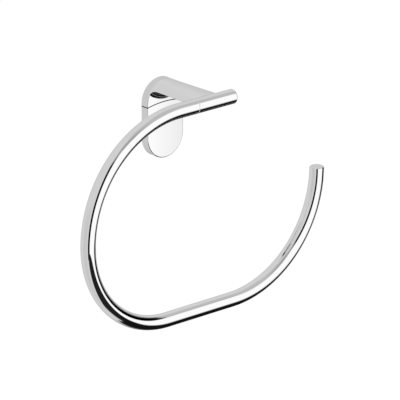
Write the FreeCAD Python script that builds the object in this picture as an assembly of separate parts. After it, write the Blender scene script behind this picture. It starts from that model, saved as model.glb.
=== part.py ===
import FreeCAD, Part
import math
import os

from FreeCAD import Vector

# Open towel ring on a wall bracket, in millimetres.
# The origin is the middle of the bracket's back, on the wall. The wall is the plane Y = 0 and
# lies behind the part, +Z is up, and +X is to the right of someone who faces the wall.

# Wall rosette: an upright rounded plate, split across by a seam
PLATE_WIDTH = 37.0
PLATE_HEIGHT = 65.5
PLATE_DEPTH = 7.5
SHELL_WALL = 2.4
COVER_FRONT_WALL = 1.6
RIM_FILLET = 0.9
SEAM_EDGE_HEIGHT = 12.3
SEAM_RISE = 2.1
SEAM_GAP = 0.25

# Round bar of the ring
BAR_DIAMETER = 12.0
BAR_AXIS_HEIGHT = 27.0
BAR_WALL_DISTANCE = 62.0
ARC_START = -33.4
UPPER_ARC_RADIUS = 91.5
LOWER_ARC_RADIUS = 78.5
BOTTOM_STRAIGHT = 67.5
END_ARC_RADIUS = 91.5
END_ARC_ANGLE = 90.0
STUB_END = 23.0
END_FILLET = 1.2
SEAM_CHAMFER = 0.25

# Arm from the rosette to the bar, lens-shaped in section
ARM_ROOT_HALF_WIDTH = 14.2
ARM_ROOT_SAG = 5.1
ARM_TIP_HALF_WIDTH = 16.4
ARM_TIP_EDGE_RISE = 0.7
ARM_TIP_SAG = 4.8
FLARE_REACH = 6.3
FLARE_FOOT_HALF_WIDTH = 16.8
FLARE_FOOT_SAG = 11.2
FLARE_SECTIONS = 9

# Mounting plate behind the rosette, screwed to the wall
FIT_GAP = 0.25
MOUNT_PLATE_THICKNESS = 3.0
WALL_HOLE_DIAMETER = 5.0
WALL_HOLE_SPACING = 40.0
WALL_COUNTERSINK_DIAMETER = 9.0
STEP_DEPTH = 1.2
STEP_INSET = 0.8

# Tab of the bracket behind the cover, and the screw that holds it
TAB_WIDTH = 18.0
TAB_THICKNESS = 2.4
TAB_END_HEIGHT = -0.5
TAB_CORNER_RADIUS = 4.0
SCREW_HEIGHT = 6.0
SCREW_DIAMETER = 4.0
SCREW_CLEARANCE = 0.15
SCREW_HEAD_DIAMETER = 7.4
SCREW_SOCKET_WIDTH = 2.5
SCREW_SOCKET_DEPTH = 1.3
SCREW_TIP_INSET = 0.4
THREAD_GAP = 0.05

# Snap lugs of the cover, which catch behind the mounting plate's stepped edge
LUG_LENGTH = 9.0
LUG_THICKNESS = 0.7
LUG_BACK_INSET = 0.2
LUG_CATCH = 0.6
LUG_HEIGHT = -8.0

# Threaded stud that joins the bar to the bracket
STUD_DIAMETER = 6.0
STUD_LENGTH = 18.0
STUD_HOLE_DEPTH = 9.4

# Values that follow from the ones above
BAR_RADIUS = BAR_DIAMETER / 2
PLATE_RADIUS = PLATE_WIDTH / 2
ROUND_CENTRE = PLATE_HEIGHT / 2 - PLATE_RADIUS
SEAM_TOP = SEAM_EDGE_HEIGHT + SEAM_RISE
BAR_SEAM = -ARM_TIP_HALF_WIDTH
FOOT_SINK = PLATE_DEPTH / 2
OVERRUN = 10.0


def rosette_block():
    """Solid of the whole rosette, rounded along its front rim."""
    block = rounded_plate(0, 0, -PLATE_DEPTH)
    return block.makeFillet(RIM_FILLET, edges_at(block, 1, -PLATE_DEPTH))


def rounded_plate(inset, y_back, y_front):
    """Solid with the rosette's outline, moved inwards by inset, between two distances."""
    radius = PLATE_RADIUS - inset
    top = Vector(0, y_back, ROUND_CENTRE + radius)
    bottom = Vector(0, y_back, -ROUND_CENTRE - radius)
    upper_left = Vector(-radius, y_back, ROUND_CENTRE)
    upper_right = Vector(radius, y_back, ROUND_CENTRE)
    lower_left = Vector(-radius, y_back, -ROUND_CENTRE)
    lower_right = Vector(radius, y_back, -ROUND_CENTRE)
    edges = [
        Part.Arc(upper_left, top, upper_right).toShape(),
        Part.LineSegment(upper_right, lower_right).toShape(),
        Part.Arc(lower_right, bottom, lower_left).toShape(),
        Part.LineSegment(lower_left, upper_left).toShape(),
    ]
    face = Part.Face(Part.Wire(edges))
    return face.extrude(Vector(0, y_front - y_back, 0))


def below_seam(shift):
    """Block that fills everything under the seam's arch, with the arch moved by shift in height."""
    side = PLATE_RADIUS + OVERRUN
    arch_radius = (PLATE_RADIUS ** 2 + SEAM_RISE ** 2) / (2 * SEAM_RISE)
    centre = SEAM_TOP - arch_radius + shift
    side_height = centre + math.sqrt(arch_radius ** 2 - side ** 2)
    floor = -PLATE_HEIGHT
    left = Vector(-side, OVERRUN, side_height)
    crown = Vector(0, OVERRUN, SEAM_TOP + shift)
    right = Vector(side, OVERRUN, side_height)
    floor_right = Vector(side, OVERRUN, floor)
    floor_left = Vector(-side, OVERRUN, floor)
    edges = [
        Part.Arc(left, crown, right).toShape(),
        Part.LineSegment(right, floor_right).toShape(),
        Part.LineSegment(floor_right, floor_left).toShape(),
        Part.LineSegment(floor_left, left).toShape(),
    ]
    face = Part.Face(Part.Wire(edges))
    return face.extrude(Vector(0, -PLATE_DEPTH - 2 * OVERRUN, 0))


def lens_section(y, half_width, edge_height, crown, underside):
    """Closed outline of an arch over a bowl, which meet in two sharp edges."""
    left = Vector(-half_width, y, edge_height)
    right = Vector(half_width, y, edge_height)
    over = Part.Arc(left, Vector(0, y, crown), right).toShape()
    under = Part.Arc(right, Vector(0, y, underside), left).toShape()
    return Part.Wire([over, under])


def height_on_arch(half_width):
    """Height of the rosette's upper round at a distance from its middle."""
    return ROUND_CENTRE + math.sqrt(PLATE_RADIUS ** 2 - half_width ** 2)


def flare_section(share):
    """Section of the arm's foot: share is 1 on the rosette's face and 0 where the flare ends."""
    reach = FLARE_REACH * (1 - math.sqrt(1 - (1 - share) ** 2))
    half_width = ARM_ROOT_HALF_WIDTH + share * (FLARE_FOOT_HALF_WIDTH - ARM_ROOT_HALF_WIDTH)
    sag = ARM_ROOT_SAG + share * (FLARE_FOOT_SAG - ARM_ROOT_SAG)
    return lens_section(
        -PLATE_DEPTH - reach,
        half_width,
        height_on_arch(half_width),
        ROUND_CENTRE + PLATE_RADIUS,
        BAR_AXIS_HEIGHT - sag,
    )


def make_arm():
    """Arm: a foot sunk into the rosette, its flare, and a shank that widens towards the bar."""
    root = Part.Face(flare_section(1.0)).extrude(Vector(0, FOOT_SINK, 0))
    last = FLARE_SECTIONS - 1
    shares = [math.cos(math.pi / 2 * step / last) ** 2 for step in range(last)] + [0.0]
    flare = Part.makeLoft([flare_section(share) for share in shares], True, False)
    tip = lens_section(
        -BAR_WALL_DISTANCE,
        ARM_TIP_HALF_WIDTH,
        BAR_AXIS_HEIGHT + ARM_TIP_EDGE_RISE,
        BAR_AXIS_HEIGHT + BAR_RADIUS,
        BAR_AXIS_HEIGHT - ARM_TIP_SAG,
    )
    shank = Part.makeLoft([flare_section(0.0), tip], True, True)
    return root.fuse(flare).fuse(shank)


def bar_stretch(start, end):
    """Straight stretch of the bar on its upper axis, from one X to another.

    It is drawn from right to left, so that the line where its round face closes runs along the
    bottom. Along the top that line would touch the arm's crown.
    """
    head = Vector(end, -BAR_WALL_DISTANCE, BAR_AXIS_HEIGHT)
    return Part.makeCylinder(BAR_RADIUS, end - start, head, Vector(-1, 0, 0))


def edges_at(shape, axis, value):
    """Edges whose whole length lies at one value of X (0), Y (1) or Z (2)."""
    found = []
    for edge in shape.Edges:
        box = edge.BoundBox
        low = (box.XMin, box.YMin, box.ZMin)[axis]
        high = (box.XMax, box.YMax, box.ZMax)[axis]
        if abs(low - value) < 0.001 and abs(high - value) < 0.001:
            found.append(edge)
    return found


def make_stub():
    """End of the bar that is cast with the bracket: rounded at the right, bored for the stud."""
    stub = bar_stretch(BAR_SEAM, STUB_END)
    stub = stub.makeFillet(END_FILLET, edges_at(stub, 0, STUB_END))
    return stub.makeChamfer(SEAM_CHAMFER, edges_at(stub, 0, BAR_SEAM))


def stud_hole(direction):
    """Tapped hole on the bar's axis, from the seam to the left (-1) or to the right (1)."""
    mouth = Vector(BAR_SEAM, -BAR_WALL_DISTANCE, BAR_AXIS_HEIGHT)
    radius = STUD_DIAMETER / 2 + THREAD_GAP
    return Part.makeCylinder(radius, STUD_HOLE_DEPTH, mouth, Vector(direction, 0, 0))


def make_tab():
    """Tab that reaches down behind the cover, with its corners rounded."""
    back = -MOUNT_PLATE_THICKNESS
    height = SEAM_TOP + SHELL_WALL - TAB_END_HEIGHT
    corner = Vector(-TAB_WIDTH / 2, back - TAB_THICKNESS, TAB_END_HEIGHT)
    tab = Part.makeBox(TAB_WIDTH, TAB_THICKNESS, height, corner)
    corners = [edge for edge in tab.Edges if is_tab_corner(edge)]
    return tab.makeFillet(min(TAB_CORNER_RADIUS, TAB_WIDTH / 3), corners)


def is_tab_corner(edge):
    """Whether an edge is one of the tab's two lower corners, which run from back to front."""
    box = edge.BoundBox
    runs_through = abs(box.YLength - TAB_THICKNESS) < 0.001
    return runs_through and abs(box.ZMax - TAB_END_HEIGHT) < 0.001


def screw_hole():
    """Countersunk hole of the tab for the screw that holds the bracket."""
    face = -MOUNT_PLATE_THICKNESS - TAB_THICKNESS
    radius = SCREW_DIAMETER / 2 + SCREW_CLEARANCE
    mouth = SCREW_HEAD_DIAMETER / 2 + SCREW_CLEARANCE
    start = Vector(0, face, SCREW_HEIGHT)
    along = Vector(0, 1, 0)
    hole = Part.makeCylinder(radius, TAB_THICKNESS, start, along)
    sink = Part.makeCone(mouth, radius, mouth - radius, start, along)
    return hole.fuse(sink)


def make_bracket():
    """Casting: upper half of the rosette with its pocket, arm, stub of the bar and tab."""
    plate = rosette_block().cut(below_seam(0))
    pocket = rounded_plate(SHELL_WALL, 0, -MOUNT_PLATE_THICKNESS)
    body = plate.fuse(make_tab()).fuse(make_arm())
    body = body.fuse(make_stub())
    body = body.cut(pocket)
    body = body.cut(screw_hole())
    return body.cut(stud_hole(1))


def make_lug(side):
    """Snap lug on the inside of the cover's side wall, at the left (-1) or the right (1)."""
    inner = PLATE_RADIUS - SHELL_WALL
    reach = FIT_GAP + LUG_CATCH
    x = inner - reach if side > 0 else -inner - SHELL_WALL / 2
    corner = Vector(x, -LUG_BACK_INSET - LUG_THICKNESS, LUG_HEIGHT - LUG_LENGTH / 2)
    return Part.makeBox(reach + SHELL_WALL / 2, LUG_THICKNESS, LUG_LENGTH, corner)


def make_lower_cover():
    """Shell over the lower half of the rosette, which hides the screws and snaps on."""
    hollow = rounded_plate(SHELL_WALL, 0, COVER_FRONT_WALL - PLATE_DEPTH)
    shell = rosette_block().cut(hollow).common(below_seam(-SEAM_GAP))
    return shell.fuse([make_lug(-1), make_lug(1)]).removeSplitter()


def make_ring_bar():
    """Bent bar: two quarter rounds on the left, a straight foot and a rising end on the right."""
    y = -BAR_WALL_DISTANCE
    left = ARC_START - UPPER_ARC_RADIUS
    waist = BAR_AXIS_HEIGHT - UPPER_ARC_RADIUS
    lower_centre = Vector(left + LOWER_ARC_RADIUS, y, waist)
    foot_height = waist - LOWER_ARC_RADIUS
    foot_end = lower_centre.x + BOTTOM_STRAIGHT
    upper_centre = Vector(ARC_START, y, waist)
    end_centre = Vector(foot_end, y, foot_height + END_ARC_RADIUS)
    seam = Vector(BAR_SEAM, y, BAR_AXIS_HEIGHT)
    start = Vector(ARC_START, y, BAR_AXIS_HEIGHT)
    side = Vector(left, y, waist)
    foot_left = Vector(lower_centre.x, y, foot_height)
    foot_right = Vector(foot_end, y, foot_height)
    tip = on_circle(end_centre, END_ARC_RADIUS, END_ARC_ANGLE - 90)
    path = Part.Wire([
        Part.LineSegment(seam, start).toShape(),
        Part.Arc(start, on_circle(upper_centre, UPPER_ARC_RADIUS, 135), side).toShape(),
        Part.Arc(side, on_circle(lower_centre, LOWER_ARC_RADIUS, 225), foot_left).toShape(),
        Part.LineSegment(foot_left, foot_right).toShape(),
        Part.Arc(foot_right, on_circle(end_centre, END_ARC_RADIUS, END_ARC_ANGLE / 2 - 90), tip).toShape(),
    ])
    outline = Part.Wire(Part.makeCircle(BAR_RADIUS, seam, Vector(1, 0, 0)))
    bar = path.makePipeShell([outline], True, True)
    bar = bar.makeFillet(END_FILLET, end_edges(bar, tip))
    bar = bar.makeChamfer(SEAM_CHAMFER, edges_at(bar, 0, BAR_SEAM))
    return bar.cut(stud_hole(-1))


def on_circle(centre, radius, angle):
    """Point on a circle in the ring's plane; the angle is in degrees from +X towards +Z."""
    turn = math.radians(angle)
    return centre + Vector(radius * math.cos(turn), 0, radius * math.sin(turn))


def end_edges(bar, tip):
    """Edges of the bar's free end face, which all lie one bar radius from its centre."""
    found = []
    for edge in bar.Edges:
        points = edge.discretize(5)
        if all(abs((point - tip).Length - BAR_RADIUS) < 0.001 for point in points):
            found.append(edge)
    return found


def make_joining_stud():
    """Stud half in the bracket's stub and half in the bar."""
    start = Vector(BAR_SEAM - STUD_LENGTH / 2, -BAR_WALL_DISTANCE, BAR_AXIS_HEIGHT)
    stud = Part.makeCylinder(STUD_DIAMETER / 2, STUD_LENGTH, start, Vector(1, 0, 0))
    return stud.makeChamfer(STUD_DIAMETER / 12, stud.Edges)


def wall_hole(height):
    """Countersunk hole of the mounting plate for a screw into the wall."""
    front = -MOUNT_PLATE_THICKNESS
    radius = WALL_HOLE_DIAMETER / 2
    mouth = WALL_COUNTERSINK_DIAMETER / 2
    start = Vector(0, front, height)
    along = Vector(0, 1, 0)
    hole = Part.makeCylinder(radius, MOUNT_PLATE_THICKNESS, start, along)
    sink = Part.makeCone(mouth, radius, mouth - radius, start, along)
    return hole.fuse(sink)


def make_wall_plate():
    """Mounting plate with a stepped back edge, two wall holes and one tapped hole."""
    inset = SHELL_WALL + FIT_GAP
    back = rounded_plate(inset + STEP_INSET, 0, -STEP_DEPTH)
    front = rounded_plate(inset, -STEP_DEPTH, -MOUNT_PLATE_THICKNESS)
    plate = back.fuse(front).removeSplitter()
    for height in (-WALL_HOLE_SPACING / 2, WALL_HOLE_SPACING / 2):
        plate = plate.cut(wall_hole(height))
    start = Vector(0, -MOUNT_PLATE_THICKNESS, SCREW_HEIGHT)
    radius = SCREW_DIAMETER / 2 + THREAD_GAP
    tapped = Part.makeCylinder(radius, MOUNT_PLATE_THICKNESS, start, Vector(0, 1, 0))
    return plate.cut(tapped)


def make_fixing_screw():
    """Countersunk screw with a six-sided socket, through the tab into the mounting plate."""
    face = -MOUNT_PLATE_THICKNESS - TAB_THICKNESS
    radius = SCREW_DIAMETER / 2
    head = SCREW_HEAD_DIAMETER / 2
    start = Vector(0, face, SCREW_HEIGHT)
    along = Vector(0, 1, 0)
    shank = Part.makeCylinder(radius, -face - SCREW_TIP_INSET, start, along)
    cone = Part.makeCone(head, radius, head - radius, start, along)
    corners = []
    for step in range(7):
        reach = SCREW_SOCKET_WIDTH / math.sqrt(3)
        corners.append(on_circle(start, reach, 60 * step))
    socket = Part.Face(Part.makePolygon(corners)).extrude(along * SCREW_SOCKET_DEPTH)
    return shank.fuse(cone).cut(socket).removeSplitter()


def main():
    """Builds every piece and writes each one to its own file."""
    os.makedirs("parts", exist_ok=True)
    pieces = {
        "bracket": make_bracket(),
        "lower_cover": make_lower_cover(),
        "ring_bar": make_ring_bar(),
        "joining_stud": make_joining_stud(),
        "wall_plate": make_wall_plate(),
        "fixing_screw": make_fixing_screw(),
    }
    for name, shape in pieces.items():
        solid = shape.Solids[0] if len(shape.Solids) == 1 else shape
        solid.exportStep("parts/" + name + ".step")
        print(name, len(shape.Solids), "solid", round(solid.Volume / 1000, 2), "cm3", solid.isValid())


main()
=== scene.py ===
"""Dresses the open towel ring in polished chrome and sets up its studio and camera."""

import logging
import math
from dataclasses import dataclass
from enum import Enum
from typing import Any, Optional, Union

import bmesh
import bpy
import numpy as np
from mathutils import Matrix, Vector


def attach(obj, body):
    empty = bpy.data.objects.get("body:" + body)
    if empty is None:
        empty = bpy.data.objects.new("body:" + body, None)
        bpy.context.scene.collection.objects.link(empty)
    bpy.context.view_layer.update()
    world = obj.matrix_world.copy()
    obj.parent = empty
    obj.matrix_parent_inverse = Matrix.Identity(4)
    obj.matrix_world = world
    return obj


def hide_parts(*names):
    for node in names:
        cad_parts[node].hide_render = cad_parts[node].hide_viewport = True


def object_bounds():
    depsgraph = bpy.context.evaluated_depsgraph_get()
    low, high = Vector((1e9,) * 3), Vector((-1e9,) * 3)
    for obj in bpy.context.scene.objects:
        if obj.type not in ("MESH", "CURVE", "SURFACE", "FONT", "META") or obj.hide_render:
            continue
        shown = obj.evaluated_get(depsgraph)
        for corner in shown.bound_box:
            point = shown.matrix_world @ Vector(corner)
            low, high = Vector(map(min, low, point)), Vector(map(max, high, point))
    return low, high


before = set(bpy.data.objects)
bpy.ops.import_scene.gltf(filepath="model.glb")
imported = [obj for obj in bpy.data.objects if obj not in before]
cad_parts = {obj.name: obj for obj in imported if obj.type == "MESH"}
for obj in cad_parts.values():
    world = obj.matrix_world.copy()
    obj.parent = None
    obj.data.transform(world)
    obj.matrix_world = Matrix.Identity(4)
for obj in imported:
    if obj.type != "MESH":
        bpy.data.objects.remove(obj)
CAD_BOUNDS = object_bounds()
log = logging.getLogger("towel_ring")

MM = 0.001
ROOT = "root"

# Points closer than this are one, and the least length and area guard divisions
MERGE_DISTANCE = 1e-7
LEAST_LENGTH = 1e-9
LEAST_AREA = 1e-18

# Shared sizes, in metres, in the frame of the CAD model
BAR_RADIUS = 6.0 * MM
BAR_HEIGHT = 27.0 * MM
BAR_PLANE = -62.0 * MM
BAR_SEAM = -16.4 * MM
STUB_END = 23.0 * MM
END_ROUNDING = 1.2 * MM
SEAM_CHAMFER = 0.25 * MM
ROSETTE_RADIUS = 18.5 * MM
ROSETTE_DEPTH = 7.5 * MM


class Slot(Enum):
    """Material slots of the record."""

    CHROME = "chrome_plate"
    ZINC = "zinc_plate"
    SCREW = "screw_steel"


class Signal:
    """One output of a node tree, which Python's operators combine through Math nodes."""

    def __init__(self, graph: "Graph", socket: bpy.types.NodeSocket) -> None:
        """Keeps the tree and the output socket.

        Args:
            graph: The tree that the socket belongs to.
            socket: The output that this signal stands for.
        """
        self.graph = graph
        self.socket = socket

    def _math(self, operation: str, *operands: "Operand") -> "Signal":
        """Adds one Math node that works on the given operands."""
        return self.graph.add("ShaderNodeMath", {"operation": operation}, dict(enumerate(operands)))

    def __add__(self, other: "Operand") -> "Signal":
        """Adds another signal or number."""
        return self._math("ADD", self, other)

    __radd__ = __add__

    def __sub__(self, other: "Operand") -> "Signal":
        """Takes another signal or number away."""
        return self._math("SUBTRACT", self, other)

    def __rsub__(self, other: "Operand") -> "Signal":
        """Takes this signal away from a number."""
        return self._math("SUBTRACT", other, self)

    def __mul__(self, other: "Operand") -> "Signal":
        """Multiplies by another signal or number."""
        return self._math("MULTIPLY", self, other)

    __rmul__ = __mul__

    def __truediv__(self, other: "Operand") -> "Signal":
        """Divides by another signal or number."""
        return self._math("DIVIDE", self, other)

    def root(self) -> "Signal":
        """Takes the square root."""
        return self._math("SQRT", self)

    def low(self, other: "Operand") -> "Signal":
        """Takes the lower of this signal and another."""
        return self._math("MINIMUM", self, other)

    def high(self, other: "Operand") -> "Signal":
        """Takes the higher of this signal and another."""
        return self._math("MAXIMUM", self, other)


Operand = Union[Signal, float]


class Graph:
    """A node tree that is built one node at a time."""

    def __init__(self, tree: bpy.types.NodeTree) -> None:
        """Keeps the tree.

        Args:
            tree: A shader or geometry tree.
        """
        self.tree = tree

    def add(
        self,
        kind: str,
        settings: Optional[dict[str, Any]] = None,
        inputs: Optional[dict[Union[int, str], Any]] = None,
        output: Union[int, str] = 0,
    ) -> Signal:
        """Adds a node, sets it and links it.

        Args:
            kind: The node's type.
            settings: Its properties, and "stops" for a ramp's (place, grey) pairs.
            inputs: Values or signals for its sockets, by name or number.
            output: The output to return.

        Returns:
            That output, as a signal.
        """
        node = self.tree.nodes.new(kind)
        for name, value in (settings or {}).items():
            if name == "stops":
                self._set_stops(node, value)
            else:
                setattr(node, name, value)
        for key, value in (inputs or {}).items():
            if isinstance(value, Signal):
                self.tree.links.new(value.socket, node.inputs[key])
            else:
                node.inputs[key].default_value = value
        return Signal(self, node.outputs[output])

    def split(self, vector: Signal) -> tuple[Signal, ...]:
        """Takes a vector apart.

        Args:
            vector: The vector.

        Returns:
            Its three components.
        """
        parts = self.add("ShaderNodeSeparateXYZ", None, {"Vector": vector})
        return tuple(Signal(self, output) for output in parts.socket.node.outputs)

    def close(self, kind: str, shader: Signal) -> None:
        """Adds the tree's output node.

        Args:
            kind: The output node's type.
            shader: The shader that it shows.
        """
        self.tree.links.new(shader.socket, self.tree.nodes.new(kind).inputs["Surface"])

    @staticmethod
    def _set_stops(node: bpy.types.Node, stops: list[tuple[float, float]]) -> None:
        """Gives a ramp its grey stops.

        Args:
            node: The ramp.
            stops: Places with their greys, from left to right.
        """
        elements = node.color_ramp.elements
        while len(elements) < len(stops):
            elements.new(0.5)
        for element, (place, grey) in zip(elements, stops):
            element.position = place
            element.color = (grey, grey, grey, 1.0)


def new_material(name: str) -> tuple[bpy.types.Material, Graph]:
    """Makes an empty material with nodes.

    Args:
        name: The material's name.

    Returns:
        The material and its graph.
    """
    material = bpy.data.materials.new(name)
    material.use_nodes = True
    material.node_tree.nodes.clear()
    return material, Graph(material.node_tree)


def add_object(name: str, data: Union[bpy.types.Mesh, bpy.types.Camera]) -> bpy.types.Object:
    """Adds an object to the scene.

    Args:
        name: Its name.
        data: Its mesh or camera.

    Returns:
        The object, at the origin and unturned.
    """
    thing = bpy.data.objects.new(name, data)
    bpy.context.scene.collection.objects.link(thing)
    return thing


def direction(azimuth: float, elevation: float) -> Vector:
    """Turns two angles in degrees into a direction.

    Args:
        azimuth: 0 towards the front and 90 to the right.
        elevation: 0 level and 90 upwards.

    Returns:
        A vector of length 1.
    """
    a, e = math.radians(azimuth), math.radians(elevation)
    return Vector((math.sin(a) * math.cos(e), -math.cos(a) * math.cos(e), math.sin(e)))


def noise(graph: Graph, scale: float, detail: float, stretch: tuple[float, float, float]) -> Signal:
    """Adds a noise on Object coordinates.

    Args:
        graph: The tree to add to.
        scale: Waves for each metre.
        detail: Octaves of finer noise.
        stretch: Factors on the three coordinates.

    Returns:
        The noise, from 0 to 1.
    """
    place = graph.add("ShaderNodeTexCoord", output="Object")
    scaled = graph.add("ShaderNodeMapping", None, {"Vector": place, "Scale": stretch})
    return graph.add("ShaderNodeTexNoise", None, {"Vector": scaled, "Scale": scale, "Detail": detail})


@dataclass(frozen=True)
class MetalFinish:
    """A bare or plated metal whose tone, polish and surface vary a little."""

    name: str
    tone: tuple[float, float, float]
    worn_tone: tuple[float, float, float]
    roughness: float
    roughness_spread: float
    relief: float
    waves: float
    grain: tuple[float, float, float] = (1.0, 1.0, 1.0)
    edge_share: float = 1.0
    film_detail: float = 3.0
    mark_detail: float = 4.0
    marks_in_wave: float = 9.0
    worn_between: tuple[float, float] = (0.35, 0.75)
    relief_height: float = 0.1 * MM

    def shade(self, graph: Graph) -> Optional[Signal]:
        """Gives the painted shade, the share of light that the surface keeps from place to place, if it
        varies.

        Args:
            graph: The material's graph.

        Returns:
            None here, because a plain metal has no painted shade.
        """
        return None

    def make(self) -> bpy.types.Material:
        """Builds the material.

        Returns:
            The finished material.
        """
        material, graph = new_material(self.name)
        film = noise(graph, self.waves, self.film_detail, (1.0, 1.0, 1.0))
        marks = noise(graph, self.waves * self.marks_in_wave, self.mark_detail, self.grain)
        clean, worn = self.worn_between
        spots = graph.add("ShaderNodeValToRGB", {"stops": [(clean, 0.0), (worn, 1.0)]}, {"Fac": film})
        colour = graph.add(
            "ShaderNodeMix",
            {"data_type": "RGBA"},
            {"Factor": spots, 6: (*self.tone, 1.0), 7: (*self.worn_tone, 1.0)},
            2,
        )
        # Painted shade, where the finish has it, darkens the base colour
        share = self.shade(graph)
        if share is not None:
            colour = graph.add("ShaderNodeVectorMath", {"operation": "SCALE"}, {0: colour, "Scale": share})
        roughness = self.roughness + self.roughness_spread * (0.5 * film + 0.5 * marks)
        height = {"Strength": self.relief, "Distance": self.relief_height, "Height": marks}
        looks = {
            "Base Color": colour,
            "Metallic": 1.0,
            "Roughness": roughness,
            "Specular Tint": (self.edge_share, self.edge_share, self.edge_share, 1.0),
            "Normal": graph.add("ShaderNodeBump", None, height),
        }
        metal = graph.add("ShaderNodeBsdfPrincipled", None, looks)
        graph.close("ShaderNodeOutputMaterial", metal)
        return material


@dataclass(frozen=True)
class RosetteChromeWithPaintedShade(MetalFinish):
    """Chrome of the rosette with painted shade: a painted shadow in its seam, painted shade round its
    sides and a painted reflection on the front that dims towards the right.
    """

    half_width: float = ROSETTE_RADIUS
    front: float = -ROSETTE_DEPTH
    # Painted shadow in the seam between the bracket and the cover
    seam_edge: float = 12.3 * MM
    seam_rise: float = 2.1 * MM
    seam_gap: float = 0.25 * MM
    seam_shade: float = 0.05
    # Painted shade round the sides
    side_painted_shade_share: float = 0.91
    # Painted reflection on the front, which dims towards the right
    front_painted_reflection_share: float = 0.86
    seam_fade: tuple[float, float] = (0.55 * MM, 0.30 * MM)
    front_fade: tuple[float, float] = (0.10 * MM, 0.02 * MM)
    side_fade: tuple[float, float] = (0.6 * MM, 0.9 * MM)
    right_start: float = -0.9

    def shade(self, graph: Graph) -> Optional[Signal]:
        """Combines the painted shadow in the seam with the painted reflection on the front and the painted
        shade on the sides.

        Args:
            graph: The material's graph.

        Returns:
            The share of light that the surface keeps, as painted shade.
        """
        place = graph.add("ShaderNodeTexCoord", output="Object")
        x, y, z = graph.split(place)
        # Painted shadow along the seam's arch, darkening the base colour
        arch = (self.half_width**2 + self.seam_rise**2) / (2 * self.seam_rise)
        height = z - (self.seam_edge + self.seam_rise - arch)
        off_seam = (x * x + height * height).root() - (arch - self.seam_gap / 2)
        painted_seam_shadow_mask = self._ramp(graph, (off_seam * off_seam).root(), *self.seam_fade)
        # Painted reflection falloff: the front's base colour dims towards the right
        outer, inner = self.front_fade
        on_front = self._ramp(graph, y, self.front + outer, self.front + inner)
        on_front = on_front * self._ramp(graph, y, self.front - outer, self.front - inner)
        painted_reflection_fade_to_right = self._ramp(graph, x, self.right_start * self.half_width, self.half_width)
        # Painted shade on the sides behind the front, darkening the base colour
        start, full = self.side_fade
        side_painted_shade_mask = self._ramp(graph, y, self.front + start, self.front + full)
        share = 1.0 - (1.0 - self.front_painted_reflection_share) * (on_front * painted_reflection_fade_to_right)
        share = share * (1.0 - (1.0 - self.side_painted_shade_share) * side_painted_shade_mask)
        return share * (1.0 - (1.0 - self.seam_shade) * painted_seam_shadow_mask)

    @staticmethod
    def _ramp(graph: Graph, value: Signal, start: float, end: float) -> Signal:
        """Rises from 0 at one value to 1 at another."""
        return graph.add("ShaderNodeMapRange", None, {"Value": value, "From Min": start, "From Max": end})


CHROME_LOOKS: dict[str, Any] = {
    "tone": (0.632, 0.632, 0.632),
    "worn_tone": (0.620, 0.620, 0.620),
    "roughness": 0.02,
    "roughness_spread": 0.025,
    "relief": 0.004,
    "waves": 60.0,
    "edge_share": 0.72,
}
CHROME = MetalFinish("polished_chrome", **CHROME_LOOKS)
ROSETTE_CHROME_WITH_PAINTED_SHADE = RosetteChromeWithPaintedShade("rosette_chrome_with_painted_shade", **CHROME_LOOKS)
ZINC = MetalFinish(
    "zinc_plate_finish",
    tone=(0.56, 0.57, 0.59),
    worn_tone=(0.47, 0.48, 0.50),
    roughness=0.26,
    roughness_spread=0.16,
    relief=0.25,
    waves=140.0,
    grain=(1.0, 1.0, 0.12),
)
STEEL = MetalFinish(
    "screw_steel_finish",
    tone=(0.50, 0.50, 0.51),
    worn_tone=(0.42, 0.42, 0.43),
    roughness=0.22,
    roughness_spread=0.12,
    relief=0.15,
    waves=220.0,
)


def finish_piece(piece: bpy.types.Object, node: str) -> None:
    """Lets a piece stand for its CAD node and ride with it.

    Args:
        piece: The finished piece.
        node: The CAD node that it replaces.
    """
    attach(piece, ROOT)
    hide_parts(node)
    log.info("%s: %d faces, for %s", piece.name, len(piece.data.polygons), node)


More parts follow.
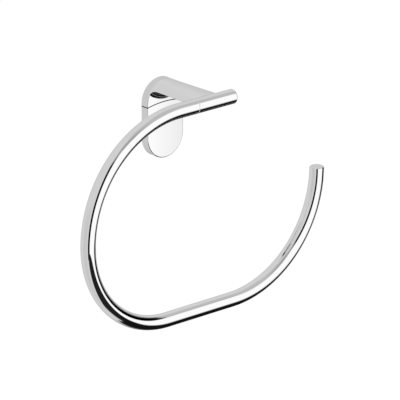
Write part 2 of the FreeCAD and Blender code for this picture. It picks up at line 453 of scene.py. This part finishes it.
@dataclass
class RingBar:
    """The bent round bar: it follows straights and rounds, and is swept by Geometry Nodes."""

    upper_start: float = -33.4 * MM
    upper_radius: float = 91.5 * MM
    lower_radius: float = 78.5 * MM
    foot_length: float = 67.5 * MM
    end_radius: float = 91.5 * MM
    sides: int = 80
    arc_steps: int = 96
    end_steps: int = 12

    def centreline(self) -> list[Vector]:
        """Works out the bar's middle line.

        Returns:
            Its points, from the seam to the free end.
        """
        waist = BAR_HEIGHT - self.upper_radius
        left = self.upper_start - self.upper_radius
        foot = waist - self.lower_radius
        foot_start = left + self.lower_radius
        foot_end = foot_start + self.foot_length
        end_centre = foot + self.end_radius
        points = [Vector((x, BAR_PLANE, BAR_HEIGHT)) for x in (BAR_SEAM, BAR_SEAM - SEAM_CHAMFER)]
        points += self._arc(self.upper_start, waist, self.upper_radius, 90.0, 180.0)
        points += self._arc(foot_start, waist, self.lower_radius, 180.0, 270.0)[1:]
        points += self._arc(foot_end, end_centre, self.end_radius, 270.0, 360.0)
        return self._with_fine_end(points)

    def _arc(self, x: float, z: float, radius: float, start: float, stop: float) -> list[Vector]:
        """Gives the points of a round in the ring's plane, between two angles in degrees."""
        angles = np.radians(np.linspace(start, stop, self.arc_steps + 1))
        return [Vector((x + radius * math.cos(a), BAR_PLANE, z + radius * math.sin(a))) for a in angles]

    def _with_fine_end(self, points: list[Vector]) -> list[Vector]:
        """Swaps the last stretch for closer points, so that the free end can be rounded.

        Args:
            points: The points of the middle line.

        Returns:
            The same line with its new end.
        """
        tip = points[-1]
        kept = [p for p in points if (p - tip).length > END_ROUNDING]
        start = kept[-1]
        reach = (tip - start).length
        turn = [math.radians(90.0 * i / self.end_steps) for i in range(self.end_steps + 1)]
        places = [reach - END_ROUNDING + END_ROUNDING * math.sin(a) for a in turn]
        return kept + [start.lerp(tip, place / reach) for place in places]

    def tree(self) -> bpy.types.NodeTree:
        """Builds the tree that sweeps the bar along its line.

        Returns:
            The tree, whose sizes are named inputs.
        """
        tree = bpy.data.node_groups.new("bar_sweep", "GeometryNodeTree")
        face = tree.interface
        face.new_socket("Line", in_out="INPUT", socket_type="NodeSocketGeometry")
        for name in ("Bar Radius", "End Rounding", "Seam Chamfer"):
            face.new_socket(name, in_out="INPUT", socket_type="NodeSocketFloat")
        face.new_socket("Sides", in_out="INPUT", socket_type="NodeSocketInt")
        face.new_socket("Finish", in_out="INPUT", socket_type="NodeSocketMaterial")
        face.new_socket("Bar", in_out="OUTPUT", socket_type="NodeSocketGeometry")
        graph = Graph(tree)
        entry = tree.nodes.new("NodeGroupInput")
        given = {socket.name: Signal(graph, socket) for socket in entry.outputs if socket.name}
        line = graph.add("GeometryNodeMeshToCurve", None, {"Mesh": given["Line"]})
        along = graph.add("GeometryNodeSplineParameter", output="Length")
        left = graph.add("GeometryNodeSplineLength", output="Length") - along
        rounding = given["End Rounding"]
        depth = rounding - left.low(rounding).high(0.0)
        at_end = given["Bar Radius"] - rounding + (rounding * rounding - depth * depth).high(0.0).root()
        at_seam = given["Bar Radius"] - given["Seam Chamfer"] + along.low(given["Seam Chamfer"])
        round_section = {"Resolution": given["Sides"], "Radius": 1.0}
        section = graph.add("GeometryNodeCurvePrimitiveCircle", None, round_section)
        bar = graph.add(
            "GeometryNodeCurveToMesh",
            None,
            {"Curve": line, "Profile Curve": section, "Scale": at_end.low(at_seam), "Fill Caps": True},
        )
        bar = graph.add("GeometryNodeRealizeInstances", None, {"Geometry": bar})
        bar = graph.add("GeometryNodeSetMaterial", None, {"Geometry": bar, "Material": given["Finish"]})
        leave = tree.nodes.new("NodeGroupOutput")
        tree.links.new(bar.socket, leave.inputs[0])
        return tree

    def build(self, finish: bpy.types.Material) -> bpy.types.Object:
        """Sweeps the bar and lets it stand for its CAD node.

        Args:
            finish: The bar's material.

        Returns:
            The finished bar.
        """
        points = self.centreline()
        mesh = bpy.data.meshes.new("bar_line")
        mesh.from_pydata(points, [(i, i + 1) for i in range(len(points) - 1)], [])
        source = add_object("bar_line", mesh)
        sizes = {
            "Bar Radius": BAR_RADIUS,
            "End Rounding": END_ROUNDING,
            "Seam Chamfer": SEAM_CHAMFER,
            "Sides": self.sides,
            "Finish": finish,
        }
        piece = swept_piece("chrome_ring_bar", source, self.tree(), sizes)
        finish_piece(piece, "ring_bar")
        return piece


def swept_piece(
    name: str,
    source: bpy.types.Object,
    tree: bpy.types.NodeTree,
    sizes: dict[str, Any],
    sharp_angle: float = 32.0,
) -> bpy.types.Object:
    """Turns the result of a geometry tree into a plain mesh object.

    Args:
        name: The new piece's name.
        source: The object that the tree works on, which is removed.
        tree: The geometry tree.
        sizes: Values of its named inputs.
        sharp_angle: Edges that turn by more degrees than this stay sharp.

    Returns:
        The piece, with its place in its mesh and its faces outwards.
    """
    modifier = source.modifiers.new("sweep", "NODES")
    modifier.node_group = tree
    for item in tree.interface.items_tree:
        if item.in_out == "INPUT" and item.name in sizes:
            modifier[item.identifier] = sizes[item.name]
    evaluated = source.evaluated_get(bpy.context.evaluated_depsgraph_get())
    mesh = bpy.data.meshes.new_from_object(evaluated)
    bpy.data.objects.remove(source)
    mesh.name = name
    clean_mesh(mesh, turn_outwards=True)
    mesh.shade_smooth()
    mesh.set_sharp_from_angle(angle=math.radians(sharp_angle))
    return add_object(name, mesh)


def clean_mesh(mesh: bpy.types.Mesh, turn_outwards: bool) -> None:
    """Merges the doubled points of a mesh.

    Args:
        mesh: The mesh to clean.
        turn_outwards: Whether its faces are turned outwards too.
    """
    shape = bmesh.new()
    shape.from_mesh(mesh)
    bmesh.ops.remove_doubles(shape, verts=shape.verts, dist=MERGE_DISTANCE)
    if turn_outwards:
        bmesh.ops.recalc_face_normals(shape, faces=shape.faces)
    shape.to_mesh(mesh)
    shape.free()


@dataclass(frozen=True)
class RoundForm:
    """A turned surface: a straight round when its tube is 0, otherwise a bent one."""

    centre: tuple[float, float, float]
    axis: tuple[float, float, float]
    radius: float
    tube: float = 0.0

    def normals(self, points: np.ndarray) -> tuple[np.ndarray, np.ndarray]:
        """Works out how far points lie from the surface, and its normals there.

        Args:
            points: An array of points.

        Returns:
            The distances, and the normals away from the axis or from the tube's middle.
        """
        axis = np.array(self.axis)
        offset = points - np.array(self.centre)
        height = offset @ axis
        outwards = offset - height[:, None] * axis
        reach = np.maximum(np.linalg.norm(outwards, axis=1), LEAST_LENGTH)
        outwards /= reach[:, None]
        if self.tube == 0.0:
            return np.abs(reach - self.radius), outwards
        across = (reach - self.radius)[:, None] * outwards + height[:, None] * axis
        length = np.maximum(np.linalg.norm(across, axis=1), LEAST_LENGTH)
        return np.abs(length - self.tube), across / length[:, None]


@dataclass
class PolishedCasting:
    """A machined or cast piece: a copy of its CAD mesh with the true normals of its forms."""

    node: str
    name: str
    forms: tuple[RoundForm, ...]
    on_form: float = 0.012 * MM
    same_form: float = 24.0
    smooth_angle: float = 34.0
    off_square: float = 1e-7

    def build(self, finish: bpy.types.Material) -> bpy.types.Object:
        """Copies the CAD mesh, smooths it and lets it stand for its node.

        Args:
            finish: The piece's material.

        Returns:
            The finished piece.
        """
        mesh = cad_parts[self.node].data.copy()
        mesh.name = self.name
        mesh.materials.clear()
        mesh.materials.append(finish)
        clean_mesh(mesh, turn_outwards=False)
        mesh.shade_smooth()
        mesh.normals_split_custom_set(self._corner_normals(mesh).tolist())
        piece = add_object(self.name, mesh)
        finish_piece(piece, self.node)
        return piece

    def _corner_normals(self, mesh: bpy.types.Mesh) -> np.ndarray:
        """Works out one normal for each corner of each triangle.

        Args:
            mesh: A mesh of triangles.

        Returns:
            The normals, in the order of the mesh's corners.
        """
        points = np.array([v.co for v in mesh.vertices], float)
        corners = np.array([tuple(p.vertices) for p in mesh.polygons])
        a, b, c = (points[corners[:, i]] for i in range(3))
        cross = np.cross(b - a, c - a)
        flat = cross / np.maximum(np.linalg.norm(cross, axis=1), LEAST_AREA)[:, None]
        normals = self._averaged(points, corners, flat)
        taken = np.zeros(len(corners), bool)
        for form in self.forms:
            distance, outwards = form.normals(points)
            facing = (outwards[corners] * flat[:, None, :]).sum(2)
            near = (distance[corners] < self.on_form).all(1)
            match = near & (np.abs(facing) > math.cos(math.radians(self.same_form))).all(1) & ~taken
            normals[match] = outwards[corners[match]] * np.sign(facing[match])[:, :, None]
            taken |= match
        return normals.reshape(-1, 3)

    def _averaged(self, points: np.ndarray, corners: np.ndarray, flat: np.ndarray) -> np.ndarray:
        """Averages the normals round each point over faces that turn only a little.

        A face that is square to an axis stays flat, and its neighbours take over its normal.

        Args:
            points: The mesh's points.
            corners: The three points of each face.
            flat: The normal of each face.

        Returns:
            A normal for each corner of each face.
        """
        around: list[list[tuple[int, float]]] = [[] for _ in points]
        for face, trio in enumerate(corners):
            for k in range(3):
                here, after, before = (points[trio[(k + i) % 3]] for i in range(3))
                u, v = after - here, before - here
                cosine = u @ v / max(np.linalg.norm(u) * np.linalg.norm(v), LEAST_AREA)
                around[trio[k]].append((face, math.acos(max(-1.0, min(1.0, cosine)))))
        limit = math.cos(math.radians(self.smooth_angle))
        squarely = np.abs(flat).max(1) > 1.0 - self.off_square
        result = np.repeat(flat[:, None, :], 3, axis=1)
        for face, trio in enumerate(corners):
            if squarely[face]:
                continue
            for k in range(3):
                total = np.zeros(3)
                anchor = None
                for other, weight in around[trio[k]]:
                    if flat[other] @ flat[face] > limit:
                        total += weight * flat[other]
                        if squarely[other]:
                            anchor = flat[other]
                total = total if anchor is None else anchor
                result[face, k] = total / max(np.linalg.norm(total), LEAST_LENGTH)
        return result


@dataclass(frozen=True)
class Rosette:
    """Round forms of the wall rosette, which the bracket and the cover share."""

    radius: float = ROSETTE_RADIUS
    wall: float = 2.4 * MM
    depth: float = ROSETTE_DEPTH
    rim: float = 0.9 * MM
    round_centre: float = 14.25 * MM

    def forms(self, side: float) -> tuple[RoundForm, ...]:
        """Lists the round forms of one half.

        Args:
            side: 1 for the upper half and -1 for the lower one.

        Returns:
            The outer round, the inner round and the rounded rim.
        """
        height = side * self.round_centre
        rim_plane = self.rim - self.depth
        inset = self.radius - self.rim
        along_y, along_z = (0.0, 1.0, 0.0), (0.0, 0.0, 1.0)
        return (
            RoundForm((0.0, 0.0, height), along_y, self.radius),
            RoundForm((0.0, 0.0, height), along_y, self.radius - self.wall),
            RoundForm((0.0, rim_plane, height), along_y, inset, self.rim),
            RoundForm((-inset, rim_plane, 0.0), along_z, self.rim),
            RoundForm((inset, rim_plane, 0.0), along_z, self.rim),
        )


@dataclass
class WallBracket:
    """The casting with its arm and stub, and the cover below it."""

    rosette: Rosette = Rosette()

    def build(self, finish: bpy.types.Material) -> list[bpy.types.Object]:
        """Builds the bracket and its cover.

        Args:
            finish: Their material.

        Returns:
            The two pieces.
        """
        along_x = (1.0, 0.0, 0.0)
        stub = RoundForm((0.0, BAR_PLANE, BAR_HEIGHT), along_x, BAR_RADIUS)
        edge = (STUB_END - END_ROUNDING, BAR_PLANE, BAR_HEIGHT)
        stub_end = RoundForm(edge, along_x, BAR_RADIUS - END_ROUNDING, END_ROUNDING)
        casting = PolishedCasting("bracket", "chrome_bracket", (stub, stub_end, *self.rosette.forms(1.0)))
        cover = PolishedCasting("lower_cover", "chrome_lower_cover", self.rosette.forms(-1.0))
        return [casting.build(finish), cover.build(finish)]


@dataclass(frozen=True)
class HiddenFixings:
    """Plate, screw and stud, which keep their CAD meshes and get their own metals."""

    plate: str = "wall_plate"
    steel: tuple[str, ...] = ("fixing_screw", "joining_stud")

    def dress(self) -> None:
        """Gives the fixings their materials."""
        zinc, steel = ZINC.make(), STEEL.make()
        self._give(self.plate, zinc)
        for node in self.steel:
            self._give(node, steel)

    @staticmethod
    def _give(node: str, finish: bpy.types.Material) -> None:
        """Puts a material in a CAD node's slots.

        Args:
            node: The CAD node's name.
            finish: The material.
        """
        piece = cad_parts[node]
        for slot in piece.material_slots:
            slot.material = finish
        log.info("%s: %s", node, finish.name)


@dataclass(frozen=True)
class Card:
    """A curved studio panel round the object, lit or dark, that the camera doesn't see.

    Its angles are those of direction(), from left to right and from foot to top. It fades out
    over some degrees at its left and right side and at its foot and top, and its top edge sinks
    towards the right by the slope.
    """

    name: str
    azimuth: tuple[float, float]
    elevation: tuple[float, float]
    fade_side: tuple[float, float]
    fade_height: tuple[float, float]
    glow: float
    distance: float
    slope: float = 0.0
    step: float = 3.0

    def build(self, centre: Vector) -> bpy.types.Object:
        """Builds the panel as a part of a ball.

        Args:
            centre: The middle of the ball.

        Returns:
            The panel.
        """
        (left, right), (low, high) = self.azimuth, self.elevation
        columns = max(2, round((right - left) / self.step))
        rows = max(2, round((high - low) / self.step))
        points, places, faces = [], [], []
        for row in range(rows + 1):
            for column in range(columns + 1):
                u, v = column / columns, row / rows
                top = high - self.slope * u
                way = direction(left + u * (right - left), low + v * (top - low))
                points.append(centre + self.distance * way)
                places.append((u, v))
        for row in range(rows):
            for column in range(columns):
                corner = row * (columns + 1) + column
                faces.append((corner, corner + 1, corner + columns + 2, corner + columns + 1))
        mesh = bpy.data.meshes.new(self.name)
        mesh.from_pydata(points, [], faces)
        chart = mesh.uv_layers.new(name="panel")
        for loop in mesh.loops:
            chart.data[loop.index].uv = places[loop.vertex_index]
        mesh.materials.append(self._material())
        panel = add_object(self.name, mesh)
        panel.visible_camera = False
        panel.visible_diffuse = False
        panel.visible_shadow = False
        log.info("%s: glow %.3f", self.name, self.glow)
        return panel

    def _material(self) -> bpy.types.Material:
        """Makes the panel's glow, which fades out towards its edges.

        Returns:
            The finished material.
        """
        material, graph = new_material(self.name)
        chart = graph.add("ShaderNodeUVMap", {"uv_map": "panel"})
        u, v, _ = graph.split(chart)
        width, height = self.azimuth[1] - self.azimuth[0], self.elevation[1] - self.elevation[0]
        mask = self._rise(graph, u * width / self.fade_side[0])
        mask = mask * self._rise(graph, (1.0 - u) * width / self.fade_side[1])
        mask = mask * self._rise(graph, v * height / self.fade_height[0])
        mask = mask * self._rise(graph, (1.0 - v) * height / self.fade_height[1])
        clear = graph.add("ShaderNodeBsdfTransparent")
        light = graph.add("ShaderNodeEmission", None, {"Strength": self.glow})
        both = graph.add("ShaderNodeMixShader", None, {0: mask, 1: clear, 2: light})
        graph.close("ShaderNodeOutputMaterial", both)
        return material

    @staticmethod
    def _rise(graph: Graph, value: Signal) -> Signal:
        """Rises smoothly from 0 to 1 as the value does."""
        return graph.add("ShaderNodeMapRange", {"interpolation_type": "SMOOTHSTEP"}, {"Value": value})


@dataclass(frozen=True)
class Studio:
    """Pale floor and surroundings, a large soft panel, and the dark and grey cards round it."""

    centre: tuple[float, float, float] = (-10.0 * MM, -55.0 * MM, -50.0 * MM)
    floor_drop: float = 2.6
    floor_size: float = 60.0
    floor_tone: float = 0.86
    floor_lift: float = 0.155
    # Name, angles from left to right and from foot to top, fades at the sides and at foot and
    # top, glow, distance and slope. A nearer card hides the ones behind it.
    cards: tuple[Card, ...] = (
        Card("soft_panel", (-32.0, 62.0), (-26.0, 40.0), (4.0, 3.0), (1.0, 12.0), 1.55, 2.60, -3.0),
        Card("upper_shade", (-60.0, 110.0), (36.0, 86.0), (20.0, 20.0), (8.0, 10.0), 0.78, 2.65),
        Card("rear_glow", (95.0, 185.0), (2.0, 50.0), (25.0, 25.0), (12.0, 15.0), 1.06, 2.65),
        Card("left_shade", (-130.0, -50.0), (-85.0, 20.0), (25.0, 20.0), (20.0, 20.0), 0.90, 2.65),
        Card("left_flag", (-46.0, -19.0), (-27.0, 50.0), (1.5, 2.0), (1.0, 14.0), 0.001, 2.50),
        Card("corner_shade", (-42.0, 22.0), (37.0, 66.0), (6.0, 30.0), (5.0, 14.0), 0.52, 2.47),
        Card("right_flag", (53.5, 110.0), (-23.0, 45.0), (2.0, 28.0), (2.0, 10.0), 0.001, 2.50),
        Card("low_grey", (54.0, 130.0), (-40.0, -20.0), (10.0, 45.0), (5.0, 1.0), 0.10, 2.46),
        Card("low_flag", (-44.0, 39.0), (-76.0, -19.5), (10.0, 3.0), (12.0, 1.0), 0.022, 2.43, 5.5),
        Card("low_flag_right", (20.0, 172.0), (-89.0, -30.0), (8.0, 55.0), (6.0, 5.0), 0.010, 2.40),
    )

    def build(self) -> None:
        """Builds the floor, the surroundings and the cards."""
        self._build_floor()
        self._light_surroundings()
        for card in self.cards:
            card.build(Vector(self.centre))
        bpy.context.scene.view_settings.view_transform = "Standard"

    def _build_floor(self) -> None:
        """Lays a pale floor far below the object."""
        half = self.floor_size / 2
        height = CAD_BOUNDS[0].z - self.floor_drop
        mesh = bpy.data.meshes.new("pale_floor")
        signs = ((-1, -1), (1, -1), (1, 1), (-1, 1))
        corners = [(half * x, half * y, height) for x, y in signs]
        mesh.from_pydata(corners, [], [(0, 1, 2, 3)])
        material, graph = new_material("pale_floor")
        rays = graph.add("ShaderNodeLightPath")
        outputs = rays.socket.node.outputs
        seen = Signal(graph, outputs["Is Camera Ray"]) + Signal(graph, outputs["Is Glossy Ray"])
        seen = seen + Signal(graph, outputs["Is Transmission Ray"])
        tone = self.floor_tone
        paint = graph.add("ShaderNodeBsdfDiffuse", None, {"Color": (tone, tone, tone, 1.0)})
        lift = graph.add("ShaderNodeEmission", None, {"Strength": seen * self.floor_lift})
        both = graph.add("ShaderNodeAddShader", None, {0: paint, 1: lift})
        graph.close("ShaderNodeOutputMaterial", both)
        mesh.materials.append(material)
        add_object("pale_floor", mesh)

    @staticmethod
    def _light_surroundings() -> None:
        """Surrounds the object with even white light."""
        world = bpy.data.worlds.new("white_surroundings")
        world.use_nodes = True
        world.node_tree.nodes.clear()
        graph = Graph(world.node_tree)
        white = graph.add("ShaderNodeBackground", None, {"Color": (1.0, 1.0, 1.0, 1.0), "Strength": 1.0})
        graph.close("ShaderNodeOutputWorld", white)
        bpy.context.scene.world = world


@dataclass(frozen=True)
class PhotoCamera:
    """Camera at the photograph's viewing angle."""

    azimuth: float = -40.896
    elevation: float = 19.709
    aim: tuple[float, float, float] = (-18.27 * MM, -70.10 * MM, -47.54 * MM)
    distance: float = 3273.1 * MM
    lens: float = 377.23
    sensor: float = 36.0
    sight: float = 200.0

    def build(self) -> None:
        """Places the camera and makes it the scene's own."""
        back = direction(self.azimuth, self.elevation)
        data = bpy.data.cameras.new("photo_camera")
        data.lens = self.lens
        data.sensor_width = self.sensor
        data.clip_end = self.sight
        camera = add_object("photo_camera", data)
        camera.location = Vector(self.aim) + self.distance * back
        camera.rotation_mode = "QUATERNION"
        camera.rotation_quaternion = (-back).to_track_quat("-Z", "Y")
        bpy.context.scene.camera = camera


def main() -> None:
    """Builds the pieces, the studio and the camera."""
    logging.basicConfig(level=logging.INFO, format="%(name)s: %(message)s")
    RingBar().build(CHROME.make())
    WallBracket().build(ROSETTE_CHROME_WITH_PAINTED_SHADE.make())
    HiddenFixings().dress()
    Studio().build()
    PhotoCamera().build()


if __name__ == "__main__":
    main()
